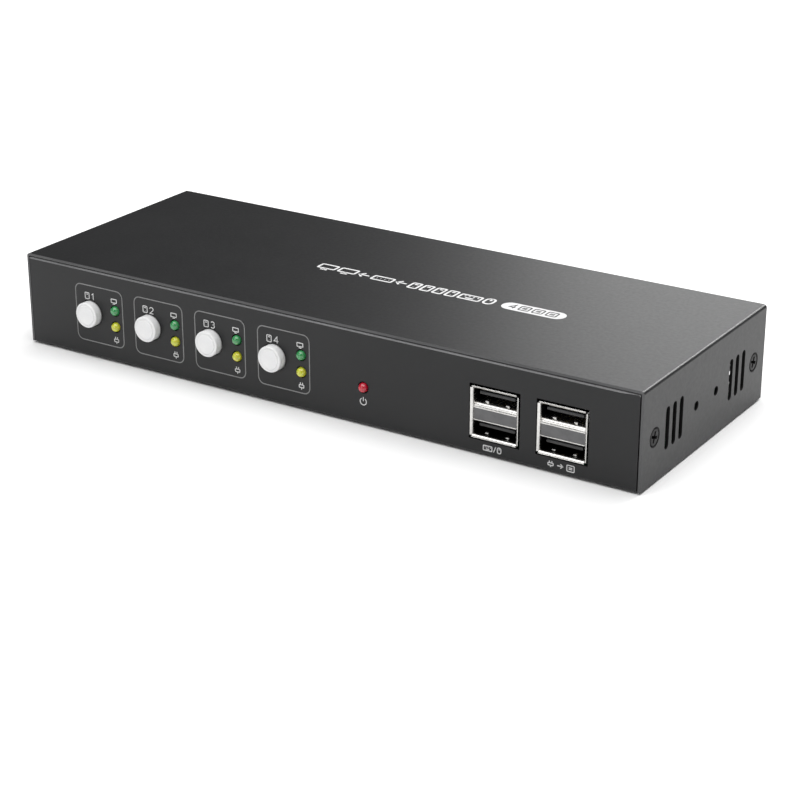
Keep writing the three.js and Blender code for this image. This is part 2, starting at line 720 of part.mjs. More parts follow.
function rearGroup() {
  const group = new THREE.Group();
  group.rotation.z = Math.PI;
  const mouthY = -PANEL_FACE - RIM_PROUD;
  const video = videoSocket();
  for (const { name, x, z } of videoPlaces()) {
    group.add(piece(name, video, bareSteel, [x, mouthY, z]));
  }
  const shell = squareShell();
  const insert = squareInsert();
  for (const { number, x } of squarePlaces()) {
    const place = [x, mouthY, SQUARE_SOCKET_Z];
    group.add(piece(`square_socket_shell_${number}`, shell, bareSteel, place));
    group.add(piece(`square_socket_insert_${number}`, insert, whitePlastic, place));
  }
  const powerPlace = [POWER_SOCKET.x, -PANEL_FACE, POWER_SOCKET.z];
  group.add(piece("power_socket", powerSocket(), bareSteel, powerPlace));
  const rockerPlace = [ROCKER.x, -PANEL_FACE, ROCKER.z];
  group.add(piece("rocker_frame", rockerFrame(), blackPlastic, rockerPlace));
  const key = piece("rocker_key", rockerKey(), blackPlastic, rockerPlace);
  key.rotation.z = THREE.MathUtils.degToRad(ROCKER_THROW / 2); // at rest it is switched on
  group.add(key);
  return group;
}

const kvmSwitch = new THREE.Group();
kvmSwitch.add(caseGroup(), boardsGroup(), controlsGroup(), frontSockets(), rearGroup());

export default kvmSwitch;
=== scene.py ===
"""A desktop KVM switch in a folded steel case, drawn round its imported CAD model.

The case, the boards and the rocker keep the CAD's own shapes. The sockets, buttons, lamps and
screws are modelled again here in finer detail and stand in the CAD's places.
Lengths are in millimetres until MM turns them into metres. A socket is drawn facing -Y, its mouth
at y = 0, and one on the rear panel is turned half round.
"""

import json
import math

import bmesh
import bpy
from mathutils import Matrix, Vector


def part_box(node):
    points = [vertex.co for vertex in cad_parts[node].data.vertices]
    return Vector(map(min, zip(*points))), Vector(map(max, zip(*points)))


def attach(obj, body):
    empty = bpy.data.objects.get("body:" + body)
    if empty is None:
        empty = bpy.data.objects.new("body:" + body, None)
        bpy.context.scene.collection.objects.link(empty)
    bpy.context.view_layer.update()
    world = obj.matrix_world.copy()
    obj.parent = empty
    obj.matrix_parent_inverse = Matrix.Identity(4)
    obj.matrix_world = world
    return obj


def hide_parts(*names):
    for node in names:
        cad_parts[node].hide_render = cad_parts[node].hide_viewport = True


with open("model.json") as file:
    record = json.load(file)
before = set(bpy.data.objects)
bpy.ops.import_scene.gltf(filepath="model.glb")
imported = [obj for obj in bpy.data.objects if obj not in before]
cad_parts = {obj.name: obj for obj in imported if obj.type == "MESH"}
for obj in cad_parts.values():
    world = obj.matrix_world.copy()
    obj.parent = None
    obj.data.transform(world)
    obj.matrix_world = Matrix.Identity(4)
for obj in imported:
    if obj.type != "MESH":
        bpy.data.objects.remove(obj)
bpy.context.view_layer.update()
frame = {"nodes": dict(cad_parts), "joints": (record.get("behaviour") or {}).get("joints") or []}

MM = 0.001
NODES = frame["nodes"]
CHANNELS = (1, 2, 3, 4)


# ---------------------------------------------------------------- the CAD's places


def centre(node):
    """The middle of a CAD node's box, in millimetres."""
    low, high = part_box(node)
    return (low + high) / (2 * MM)


def mouth(node, rear=False):
    """The matrix that puts a piece drawn at the origin, facing -Y, at a node's outer face."""
    low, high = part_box(node)
    middle = (low + high) / 2
    if rear:
        place = Matrix.Translation((middle.x, high.y, middle.z))
        return place @ Matrix.Rotation(math.pi, 4, "Z")
    return Matrix.Translation((middle.x, low.y, middle.z))


CASE_LOW, CASE_HIGH = [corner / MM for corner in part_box("top_cover")]
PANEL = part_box("base_chassis")[1].y / MM  # distance of each panel's face from the middle


# ---------------------------------------------------------------- materials


def links_of(material):
    """The node tree's nodes, links and principled shader."""
    tree = material.node_tree
    return tree.nodes, tree.links, tree.nodes["Principled BSDF"]


def material(name, color, roughness, metallic=0.0, **sockets):
    """A principled material. Further sockets are given by name, with _ for a space."""
    made = bpy.data.materials.new(name)
    made.use_nodes = True
    shader = links_of(made)[2]
    shader.inputs["Base Color"].default_value = (*color, 1)
    shader.inputs["Roughness"].default_value = roughness
    shader.inputs["Metallic"].default_value = metallic
    for socket, value in sockets.items():
        shader.inputs[socket.replace("_", " ")].default_value = value
    return made


def noise(made, scale, detail=3.0, stretch=(1, 1, 1)):
    """A noise texture in the object's own metres. The scale is in grains per metre."""
    nodes, links, _ = links_of(made)
    place = nodes.new("ShaderNodeTexCoord")
    mapping = nodes.new("ShaderNodeMapping")
    texture = nodes.new("ShaderNodeTexNoise")
    mapping.inputs["Scale"].default_value = stretch
    texture.inputs["Scale"].default_value = scale
    texture.inputs["Detail"].default_value = detail
    links.new(place.outputs["Object"], mapping.inputs["Vector"])
    links.new(mapping.outputs["Vector"], texture.inputs["Vector"])
    return texture.outputs["Fac"]


def vary_color(made, pattern, dark, light):
    """The base colour runs from dark to light with the pattern."""
    nodes, links, shader = links_of(made)
    ramp = nodes.new("ShaderNodeValToRGB")
    ramp.color_ramp.elements[0].position = 0.3
    ramp.color_ramp.elements[0].color = (*dark, 1)
    ramp.color_ramp.elements[1].position = 0.7
    ramp.color_ramp.elements[1].color = (*light, 1)
    links.new(pattern, ramp.inputs["Fac"])
    links.new(ramp.outputs["Color"], shader.inputs["Base Color"])


def vary_roughness(made, pattern, low, high):
    """The roughness runs from low to high with the pattern."""
    nodes, links, shader = links_of(made)
    spread = nodes.new("ShaderNodeMapRange")
    spread.inputs["From Min"].default_value = 0.3
    spread.inputs["From Max"].default_value = 0.7
    spread.inputs["To Min"].default_value = low
    spread.inputs["To Max"].default_value = high
    links.new(pattern, spread.inputs["Value"])
    links.new(spread.outputs["Result"], shader.inputs["Roughness"])


def roughen(made, pattern, height, strength):
    """A bump of the given height, in millimetres."""
    nodes, links, shader = links_of(made)
    bump = nodes.new("ShaderNodeBump")
    bump.inputs["Strength"].default_value = strength
    bump.inputs["Distance"].default_value = height * MM
    links.new(pattern, bump.inputs["Height"])
    links.new(bump.outputs["Normal"], shader.inputs["Normal"])


def powder_coat(name, dark, light, roughness):
    """Satin powder coat with a fine orange peel."""
    made = material(name, light, roughness, Specular_IOR_Level=0.32)
    vary_color(made, noise(made, 60, 4), dark, light)
    vary_roughness(made, noise(made, 900, 2), roughness - 0.03, roughness + 0.03)
    roughen(made, noise(made, 3200, 2), 0.006, 0.4)
    return made


def drawn_metal(name, dark, light, roughness):
    """Plated sheet steel with fine marks along the way it was drawn."""
    made = material(name, light, roughness, 1.0)
    vary_color(made, noise(made, 400, 2), dark, light)
    vary_roughness(made, noise(made, 3000, 3, (1, 0.06, 1)), roughness - 0.06, roughness + 0.08)
    return made


def plain_metal(name, dark, light, roughness):
    """A metal with a soft variation in colour and in gloss."""
    made = material(name, light, roughness, 1.0)
    vary_color(made, noise(made, 900, 3), dark, light)
    vary_roughness(made, noise(made, 2500, 2), roughness * 0.8, roughness * 1.2)
    return made


def moulded(name, dark, light, roughness, grain=0.006, **sockets):
    """A moulded plastic with a fine grain."""
    made = material(name, light, roughness, **sockets)
    vary_color(made, noise(made, 250, 3), dark, light)
    vary_roughness(made, noise(made, 1500, 2), roughness * 0.85, roughness * 1.15)
    roughen(made, noise(made, 4200, 2), grain, 0.6)
    return made


def lens(name, dark, light):
    """A tinted lamp body: clear-coated, and a little deeper in colour in patches."""
    made = material(
        name, light, 0.22, Coat_Weight=1.0, Coat_Roughness=0.06, Subsurface_Weight=0.25
    )
    links_of(made)[2].inputs["Subsurface Scale"].default_value = 0.6 * MM
    vary_color(made, noise(made, 500, 1), dark, light)
    return made


def circuit_board():
    """Green solder mask over a grid of tracks."""
    made = material("solder_mask", (0.01, 0.08, 0.035), 0.35, Coat_Weight=0.4)
    nodes, links, _ = links_of(made)
    place = nodes.new("ShaderNodeTexCoord")
    tracks = nodes.new("ShaderNodeTexBrick")
    tracks.inputs["Scale"].default_value = 160
    tracks.inputs["Mortar Size"].default_value = 0.02
    links.new(place.outputs["Object"], tracks.inputs["Vector"])
    vary_color(made, tracks.outputs["Fac"], (0.008, 0.06, 0.028), (0.02, 0.14, 0.06))
    roughen(made, tracks.outputs["Fac"], 0.03, 0.5)
    return made


COAT = powder_coat("powder_coat", (0.0125, 0.0127, 0.0133), (0.0145, 0.0147, 0.0153), 0.36)
# A light coat that paints a highlight along the rounded top edges of the front and rear panels.
PAINTED_HIGHLIGHT_COAT = powder_coat("bend_painted_highlight", (0.16, 0.16, 0.163), (0.21, 0.21, 0.214), 0.28)
# Lighter than the real coat would be, so that the cover's upright ends read as a lit corner.
EDGE_COAT = powder_coat("edge_coat", (0.07, 0.07, 0.072), (0.09, 0.09, 0.092), 0.36)
# A near-black coat that paints shade on the cut edges of the cover's top and on the walls of the
# holes in the cover and the panels.
PAINTED_SHADE_COAT = powder_coat("edge_and_hole_painted_shade", (0.003, 0.003, 0.0032), (0.005, 0.005, 0.0053), 0.6)
NICKEL = drawn_metal("nickel", (0.66, 0.65, 0.63), (0.76, 0.75, 0.73), 0.24)
# A darker copy of the plated steel: painted shade on the flat faces of the sockets and on the
# power socket's shell.
SHADE_FACE_STEEL = drawn_metal("face_painted_shade_steel", (0.125, 0.125, 0.127), (0.148, 0.148, 0.15), 0.36)
RIM = drawn_metal("rolled_rim", (0.36, 0.36, 0.355), (0.44, 0.44, 0.435), 0.3)
# A near-black copy of the plated steel: painted shade on the walls inside the sockets' mouths.
INNER_SHADE_STEEL = drawn_metal("shaded_steel", (0.012, 0.012, 0.012), (0.024, 0.024, 0.023), 0.42)
GOLD = plain_metal("contact_gold", (0.42, 0.31, 0.13), (0.66, 0.50, 0.22), 0.3)
BRASS = plain_metal("standoff_brass", (0.2, 0.15, 0.07), (0.28, 0.22, 0.11), 0.5)
ZINC = plain_metal("zinc_plate", (0.5, 0.5, 0.5), (0.62, 0.62, 0.61), 0.35)
BLACK_OXIDE = moulded(
    "black_oxide", (0.004, 0.004, 0.0042), (0.009, 0.009, 0.0095), 0.4, Specular_IOR_Level=0.15
)
# A light steel left on the walls of the screws' cross recesses: a painted glint.
RECESS_GLINT_STEEL = plain_metal("recess_painted_glint", (0.2, 0.2, 0.2), (0.3, 0.3, 0.3), 0.3)
BLACK = moulded("black_plastic", (0.012, 0.012, 0.013), (0.02, 0.02, 0.021), 0.45)
TONGUE = moulded("tongue_plastic", (0.03, 0.03, 0.031), (0.045, 0.045, 0.046), 0.4)
ROCKER_BLACK = moulded("rocker_plastic", (0.007, 0.007, 0.0075), (0.011, 0.011, 0.0115), 0.4)
WHITE = moulded("white_plastic", (0.8, 0.8, 0.805), (0.85, 0.85, 0.85), 0.34, 0.003)
GREEN_LENS = lens("green_lens", (0.03, 0.24, 0.07), (0.06, 0.36, 0.12))
YELLOW_LENS = lens("yellow_lens", (0.5, 0.5, 0.03), (0.7, 0.7, 0.05))
RED_LENS = lens("red_lens", (0.42, 0.004, 0.02), (0.6, 0.01, 0.04))
MASK = circuit_board()
INK = moulded("light_ink", (0.6, 0.6, 0.6), (0.7, 0.7, 0.7), 0.6, 0.002)
LINE_INK = moulded("line_ink", (0.17, 0.17, 0.17), (0.23, 0.23, 0.23), 0.6, 0.002)
DARK_INK = moulded("dark_ink", (0.03, 0.03, 0.03), (0.045, 0.045, 0.045), 0.6, 0.002)


# ---------------------------------------------------------------- building meshes


def finished(bm, name, materials, smooth_below=38):
    """The mesh of a bmesh: normals outwards, and smooth where faces meet at a small angle."""
    bmesh.ops.recalc_face_normals(bm, faces=bm.faces)
    mesh = bpy.data.meshes.new(name)
    bm.to_mesh(mesh)
    bm.free()
    for used in materials:
        mesh.materials.append(used)
    mesh.polygons.foreach_set("use_smooth", [True] * len(mesh.polygons))
    mesh.set_sharp_from_angle(angle=math.radians(smooth_below))
    return mesh


def piece(name, mesh, place=Matrix.Identity(4), body="case", replaced=()):
    """An object that shows a mesh at a place, rides on a body and stands for CAD nodes."""
    made = bpy.data.objects.new(name, mesh)
    bpy.context.scene.collection.objects.link(made)
    made.matrix_world = place
    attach(made, body)
    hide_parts(*replaced)
    return made


def rounded(points, radius, steps=4):
    """An outline of (a, b) points with each corner rounded."""
    outline = []
    count = len(points)
    for i in range(count):
        corner = Vector(points[i])
        back = (Vector(points[i - 1]) - corner).normalized()
        ahead = (Vector(points[(i + 1) % count]) - corner).normalized()
        half = back.angle(ahead) / 2
        hub = corner + (back + ahead).normalized() * (radius / math.sin(half))
        start = corner + back * (radius / math.tan(half)) - hub
        end = corner + ahead * (radius / math.tan(half)) - hub
        turn = start.angle_signed(end)
        for step in range(steps + 1):
            spoke = start.copy()
            spoke.rotate(Matrix.Rotation(-turn * step / steps, 2))
            outline.append(tuple(hub + spoke))
    return outline


def rectangle(width, height, radius, x=0.0, z=0.0, steps=4):
    """A rounded rectangle centred at (x, z)."""
    a, b = width / 2, height / 2
    corners = [(x - a, z - b), (x + a, z - b), (x + a, z + b), (x - a, z + b)]
    return rounded(corners, radius, steps)


def loft(bm, sections, slot=0):
    """A closed body through (outline, y) sections of equal length, capped at both ends.

    Each section is (outline, y) or (outline, y, slot), and a slot holds from there on.
    """
    rings = []
    slots = []
    for outline, y, *changed in sections:
        slot = changed[0] if changed else slot
        rings.append([bm.verts.new(Vector((x, y, z)) * MM) for x, z in outline])
        slots.append(slot)
    for ring, after, used in zip(rings, rings[1:], slots):
        for i in range(len(ring)):
            j = (i + 1) % len(ring)
            bm.faces.new((ring[i], ring[j], after[j], after[i])).material_index = used
    bm.faces.new(rings[0]).material_index = slots[0]
    bm.faces.new(rings[-1]).material_index = slots[-1]


def turned(bm, profile, steps=48):
    """A body turned about Y from (radius, y) pairs that start and end on the axis."""
    rings = []
    for radius, y in profile:
        if radius == 0:
            rings.append([bm.verts.new((0, y * MM, 0))])
            continue
        angles = [2 * math.pi * i / steps for i in range(steps)]
        ring = [(radius * math.cos(a) * MM, y * MM, radius * math.sin(a) * MM) for a in angles]
        rings.append([bm.verts.new(point) for point in ring])
    for ring, after in zip(rings, rings[1:]):
        for i in range(steps):
            j = (i + 1) % steps
            corners = [ring[i % len(ring)], ring[j % len(ring)]]
            corners += [after[j % len(after)], after[i % len(after)]]
            unique = list(dict.fromkeys(corners))
            bm.faces.new(unique)


def fillet(radius, y, size, start, end, steps):
    """Profile points round a corner arc about (radius, y), between two angles in degrees."""
    turns = [math.radians(start + (end - start) * i / steps) for i in range(steps + 1)]
    return [(radius + size * math.cos(t), y + size * math.sin(t)) for t in turns]


def slab(bm, x, y, z, bevel=0.0, slot=0):
    """A box between (low, high) pairs on each axis, with its edges bevelled."""
    size = Vector((x[1] - x[0], y[1] - y[0], z[1] - z[0])) * MM
    middle = Vector((x[0] + x[1], y[0] + y[1], z[0] + z[1])) * (MM / 2)
    matrix = Matrix.Translation(middle) @ Matrix.Diagonal((*size, 1))
    verts = bmesh.ops.create_cube(bm, size=1, matrix=matrix)["verts"]
    if bevel:
        edges = list({edge for vert in verts for edge in vert.link_edges})
        made = bmesh.ops.bevel(
            bm, geom=edges, offset=bevel * MM, segments=2, profile=0.5, affect="EDGES"
        )
        verts = {vert for face in made["faces"] for vert in face.verts}
    for face in {face for vert in verts for face in vert.link_faces}:
        face.material_index = slot


def prism_x(bm, outline, x0, x1, slot=0):
    """An outline of (y, z) points pushed along X."""
    ends = [[bm.verts.new(Vector((x, y, z)) * MM) for y, z in outline] for x in (x0, x1)]
    for i in range(len(outline)):
        j = (i + 1) % len(outline)
        face = bm.faces.new((ends[0][i], ends[0][j], ends[1][j], ends[1][i]))
        face.material_index = slot
    for end in ends:
        bm.faces.new(end).material_index = slot


def spring_leaf(bm, x, z, up, slot):
    """A bowed spring finger on a socket's wall at height z, bulging up (1) or down (-1)."""
    y, width, length, rise, thick, steps = 0.5, 1.1, 3.2, 0.55, 0.12, 8
    bow = [(y + length * i / steps, math.sin(math.pi * i / steps)) for i in range(steps + 1)]
    outer = [(along, z + up * rise * lift) for along, lift in bow]
    inner = [(along, z + up * (rise * lift - thick)) for along, lift in reversed(bow)]
    prism_x(bm, outer + inner, x - width / 2, x + width / 2, slot)


def bevelled(bm, edges, offset, segments, slot):
    """Rounds the edges and gives the new faces a material slot.

    The overlap limit can cut the rounding down a great deal. On the cover and on the rocker's
    frame, hardly any is left.
    """
    bmesh.ops.bevel(
        bm, geom=edges, offset=offset * MM, segments=segments, profile=0.5, affect="EDGES",
        clamp_overlap=True, material=slot,
    )


WIDE_ROUNDING = 0.5  # asked for on the edges that wide() picks
KEEP_SLOT = -1  # a bevel's new faces take their neighbours' material


def refined(node, bevel, used, body="case", wide=None, paint=None):
    """The node's own shape with merged flats and smooth folds, and its edges bevelled.

    wide(edge) picks edges that get WIDE_ROUNDING and the second material. paint(face) gives the
    number of a face's material.
    """
    bm = bmesh.new()
    bm.from_mesh(NODES[node].data)
    bmesh.ops.remove_doubles(bm, verts=bm.verts, dist=0.002 * MM)
    bmesh.ops.dissolve_limit(
        bm, angle_limit=math.radians(0.5), verts=bm.verts, edges=bm.edges
    )
    bm.normal_update()
    for face in bm.faces:
        face.material_index = paint(face) if paint else 0
    if wide:
        bevelled(bm, [edge for edge in bm.edges if wide(edge)], WIDE_ROUNDING, 4, 1)
    sharp = [edge for edge in bm.edges if edge.calc_face_angle(0) > math.radians(40)]
    bevelled(bm, sharp, bevel, 2, KEEP_SLOT)
    made = piece(f"{node}_shape", finished(bm, f"{node}_shape", used, 50),
                 body=body, replaced=(node,))
    normals = made.modifiers.new("flat_faces_win", "WEIGHTED_NORMAL")
    normals.keep_sharp = True
    return made


# ---------------------------------------------------------------- the case and the boards


def dress_node(node, used):
    """A CAD node that keeps its shape gets a finished material."""
    slots = NODES[node].material_slots
    for slot in slots:
        slot.material = used


def build_case():
    chassis_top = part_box("base_chassis")[1].z
    hair = 0.01 * MM

    def panel_top(edge):
        """The outer edge along the top of the front or the rear panel, rounded and given a painted
        highlight.
        """
        return all(
            vert.co.z > chassis_top - hair and abs(vert.co.y) > PANEL * MM - hair
            for vert in edge.verts
        )

    def cover_paint(face):
        """2, painted shade, on the cut edges of the top and on hole walls, and 1, a painted
        highlight, on the sides' upright ends.
        """
        at = face.calc_center_median() / MM
        if abs(face.normal.y) > 0.99 and abs(at.y) > CASE_HIGH.y - 1:
            return 2 if at.z > chassis_top / MM else 1
        inside = 1 < at.z < CASE_HIGH.z - 2 and abs(at.y) < PANEL - 1
        shaded_wall = inside and abs(at.x) > CASE_HIGH.x - 1 and abs(face.normal.x) < 0.9
        return 2 if shaded_wall else 0

    def panel_paint(face):
        """2, painted shade, on the walls of the holes in the front and the rear panel."""
        at = face.calc_center_median() / MM
        inside = 1 < at.z < chassis_top / MM - 1 and abs(at.x) < CASE_HIGH.x - 2
        shaded_wall = inside and abs(at.y) > PANEL - 1 and abs(face.normal.y) < 0.5
        return 2 if shaded_wall else 0

    def cover_corner(edge):
        """The outer upright edges of the cover's sides, beside the two panels."""
        return all(
            abs(vert.co.x) > CASE_HIGH.x * MM - hair and abs(vert.co.y) > CASE_HIGH.y * MM - hair
            for vert in edge.verts
        )

    # The second coat of each paints a highlight, and the third paints shade on cut edges and hole
    # walls.
    cover_coats, panel_coats = [COAT, EDGE_COAT, PAINTED_SHADE_COAT], [COAT, PAINTED_HIGHLIGHT_COAT, PAINTED_SHADE_COAT]
    refined("top_cover", 0.08, cover_coats, wide=cover_corner, paint=cover_paint)
    refined("base_chassis", 0.08, panel_coats, wide=panel_top, paint=panel_paint)
    refined("rocker_frame", 0.18, [ROCKER_BLACK])
    refined("rocker_key", 0.15, [ROCKER_BLACK], "rocker")


def dress_insides():
    for node in ("main_board", "upper_board", "button_board"):
        dress_node(node, MASK)
    dress_node("board_link_connector", BLACK)
    for number in CHANNELS:
        dress_node(f"board_standoff_{number}", BRASS)
        dress_node(f"board_screw_{number}", ZINC)
        dress_node(f"button_switch_{number}", BLACK)


def screw_mesh():
    """A countersunk cross-head screw, facing -Y."""
    head, shank, depth = 2.4, 1.35, 6.0
    bm = bmesh.new()
    rim = fillet(head - 0.15, 0.25, 0.15, -90, 0, 3)
    turned(bm, [(0, 0.1), *rim, (1.5, 1.4), (shank, 1.6), (shank, depth - 0.4),
                (shank - 0.4, depth), (0, depth)])
    body = finished(bm, "screw_body", [BLACK_OXIDE])
    bm = bmesh.new()
    for quarter in (0, 1):
        arm, thick = 1.7, 0.42
        first = len(bm.verts)
        wide = [(-arm, -thick), (arm, -thick), (arm, thick), (-arm, thick)]
        deep = [(a * 0.55, b * 0.6) for a, b in wide]
        loft(bm, [(wide, -0.5), (wide, 0.1), (deep, 1.5)])
        bm.verts.ensure_lookup_table()
        turn = Matrix.Rotation(math.pi / 2 * quarter, 3, "Y")
        bmesh.ops.rotate(bm, cent=(0, 0, 0), matrix=turn, verts=bm.verts[first:])
    # The recess's walls take this light steel: a painted glint on the dark head.
    cutter = finished(bm, "screw_cutter", [RECESS_GLINT_STEEL])
    return cut_mesh(body, cutter, "screw")


def cut_mesh(body, cutter, name):
    """The mesh that is left of body when cutter is taken out of it."""
    scene = bpy.context.scene
    whole = bpy.data.objects.new("whole", body)
    tool = bpy.data.objects.new("tool", cutter)
    scene.collection.objects.link(whole)
    scene.collection.objects.link(tool)
    cut = whole.modifiers.new("cut", "BOOLEAN")
    cut.operation = "DIFFERENCE"
    cut.object = tool
    cut.use_self = True
    graph = bpy.context.evaluated_depsgraph_get()
    mesh = bpy.data.meshes.new_from_object(whole.evaluated_get(graph))
    mesh.name = name
    bpy.data.objects.remove(whole)
    bpy.data.objects.remove(tool)
    mesh.set_sharp_from_angle(angle=math.radians(35))
    return mesh


def build_screws():
    mesh = screw_mesh()
    for side, sign in (("right", 1), ("left", -1)):
        for end in ("front", "rear"):
            node = f"cover_screw_{side}_{end}"
            middle = centre(node) * MM
            place = Matrix.Translation((sign * CASE_HIGH.x * MM, middle.y, middle.z))
            place = place @ Matrix.Rotation(sign * math.pi / 2, 4, "Z")
            place = place @ Matrix.Rotation(math.radians(20), 4, "Y")
            piece(f"{node}_shape", mesh, place, replaced=(node,))


# ---------------------------------------------------------------- buttons and lamps


def button_mesh():
    """A round cap with a soft rim and a moulded stem."""
    low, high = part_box("button_cap_1")
    radius = (high.x - low.x) / MM / 2
    cap, stem, edge, groove = 5.2, 1.4, 0.4, 0.2
    bm = bmesh.new()
    rim = fillet(radius - edge, edge, edge, -90, 0, 6)
    face = radius - edge - 0.55
    turned(bm, [(0, 0.03), (face - 0.12, 0.03), (face, groove), (face + 0.25, groove),
                (face + 0.42, 0.01), *rim, (radius, cap), (stem, cap), (stem, cap + 3),
                (0, cap + 3)], 72)
    return finished(bm, "button_cap", [WHITE], 50)


def lamp_mesh(name, used):
    """A domed lamp body, its tip at y = 0, running back to the board."""
    low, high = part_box("power_lamp")
    length = (high.y - low.y) / MM
    radius = 1.45
    steps = 8
    bm = bmesh.new()
    turns = [math.pi / 2 * i / steps for i in range(1, steps + 1)]
    dome = [(radius * math.sin(t), radius * (1 - math.cos(t))) for t in turns]
    turned(bm, [(0, 0), *dome, (radius, length), (0, length)], 40)
    return finished(bm, name, [used], 60)


def build_controls():
    cap = button_mesh()
    lamps = {
        "green": (lamp_mesh("green_lamp", GREEN_LENS), "green_lens"),
        "yellow": (lamp_mesh("yellow_lamp", YELLOW_LENS), "yellow_lens"),
    }
    for number in CHANNELS:
        node = f"button_cap_{number}"
        piece(f"{node}_shape", cap, mouth(node), f"button_{number}", (node,))
        for color, (mesh, slot) in lamps.items():
            node = f"{color}_lamp_{number}"
            piece(f"{node}_shape", mesh, mouth(node), replaced=(node,))
    power = lamp_mesh("power_lamp_body", RED_LENS)
    piece("power_lamp_shape", power, mouth("power_lamp"), replaced=("power_lamp",))


# ---------------------------------------------------------------- sockets


def video_outline(grow):
    """A video socket's mouth, wide above and narrow below, grown outwards by some millimetres."""
    wide, narrow = 7.0 + grow, 4.9 + grow * 0.45
    top, shoulder = 2.275 + grow, -0.75 - grow * 0.4
    corners = [(-narrow, -top), (narrow, -top), (wide, shoulder), (wide, top), (-wide, top),
               (-wide, shoulder)]
    return rounded(corners, 0.35 + grow * 0.7)


def video_mesh():
    """A steel shell with a rolled rim, a black tongue with gold contacts, and spring fingers."""
    rim, depth = 0.6, 11.5
    # The walls inside the mouth take the near-black steel: painted shade.
    plastic, contact, shaded_wall, spring = 1, 2, 3, 4
    bm = bmesh.new()
    loft(bm, [
        (video_outline(rim), depth),
        (video_outline(rim), 0.25),
        (video_outline(rim - 0.08), 0.07),
        (video_outline(rim - 0.25), 0.0),
        (video_outline(0.22), 0.0),
        (video_outline(0.07), 0.1),
        (video_outline(0.0), 0.35, shaded_wall),
        (video_outline(0.0), depth - 1.8),
    ])
    slab(bm, (-5.6, 5.6), (1.6, depth - 1.5), (0.1, 1.1), 0.18, plastic)
    slab(bm, (-6.9, 6.9), (depth - 3.4, depth - 1.7), (-2.15, 2.15), 0.1, plastic)
    contacts = 10
    for i in range(contacts):
        x = (i - (contacts - 1) / 2) * 1.0
        slab(bm, (x - 0.23, x + 0.23), (1.75, depth - 3), (1.05, 1.17), 0, contact)
        slab(bm, (x - 0.23, x + 0.23), (1.75, depth - 3), (0.03, 0.15), 0, contact)
    for x in (-2.85, 2.85):
        spring_leaf(bm, x, -2.3, 1, spring)
        spring_leaf(bm, x, 2.3, -1, spring)
        slab(bm, (x - 0.42, x + 0.42), (0.12, 0.9), (-2.4, -1.75), 0.2, spring)
    return finished(bm, "video_socket", [RIM, BLACK, GOLD, INNER_SHADE_STEEL, NICKEL])


def square_outline(half_x, half_z, cut, radius, lift=0.0):
    """A rectangle with its upper corners cut off, as a square data socket's mouth has."""
    left, right, low, high = -half_x, half_x, lift - half_z, lift + half_z
    corners = [(left, low), (right, low), (right, high - cut), (right - cut, high),
               (left + cut, high), (left, high - cut)]
    return rounded(corners, radius, 3)


def square_mesh():
    """A folded steel box with a rimmed face, round a white insert with four contacts."""
    low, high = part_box("square_socket_shell_1")
    width, height = (high.x - low.x) / MM / 2, (high.z - low.z) / MM / 2
    depth, lift = 16.0, -0.2
    # The walls inside take the near-black steel, and the face and the narrow upper spring plate a
    # darker steel: painted shade.
    plastic, contact, shaded_wall, face, spring = 1, 2, 3, 4, 5

    def shell(inset):
        return square_outline(width - inset, height - inset, 0.35, 0.12)

    def opening(grow):
        return square_outline(4.225 + grow, 3.89 + grow, 1.65, 0.35, lift)

    bm = bmesh.new()
    loft(bm, [
        (shell(0.0), depth),
        (shell(0.0), 0.2),
        (shell(0.12), 0.0),
        (shell(0.4), 0.0),
        (shell(0.5), 0.12, face),
        (opening(0.25), 0.12),
        (opening(0.1), 1.4, shaded_wall),
        (opening(0.0), depth - 1.2),
    ])
    slab(bm, (-3.1, 3.1), (0.6, 9), (-1.75, 1.75), 0.4, plastic)
    slab(bm, (-3.9, 3.9), (8.8, depth - 1.5), (-3.7, 3.3), 0.2, plastic)
    for x in (-1.25, 1.25):
        for z in (-1.8, 1.8):
            slab(bm, (x - 0.5, x + 0.5), (2.6, 8.9), (z - 0.09, z + 0.09), 0, contact)
    # The spring plates of the shell: a broad one below the tongue, a narrow one above it.
    slab(bm, (-3.6, 3.6), (0.3, 6), (lift - 3.95, lift - 2.7), 0.35, spring)
    slab(bm, (-1.9, 1.9), (0.9, 6), (lift + 3.4, lift + 3.8), 0.1, face)
    return finished(bm, "square_socket", [RIM, WHITE, GOLD, INNER_SHADE_STEEL, SHADE_FACE_STEEL, NICKEL])


def flared_lip(bm, reach, length, turn):
    """One of four lips round a socket's mouth, folded outwards from reach, turned about Y."""
    inner = [(1.7, 0.0), (0.9, 0.0), (0.55, 0.08), (0.25, 0.3), (0.0, 0.72)]
    outer = [(0.1, 0.85), (0.42, 0.6), (0.75, 0.38), (1.1, 0.3), (1.7, 0.3)]
    first = len(bm.verts)
    outline = [(y, reach + out) for y, out in inner + outer]
    prism_x(bm, outline, -length / 2, length / 2)
    bm.verts.ensure_lookup_table()
    quarter = Matrix.Rotation(math.pi / 2 * turn, 3, "Y")
    bmesh.ops.rotate(bm, cent=(0, 0, 0), matrix=quarter, verts=bm.verts[first:])


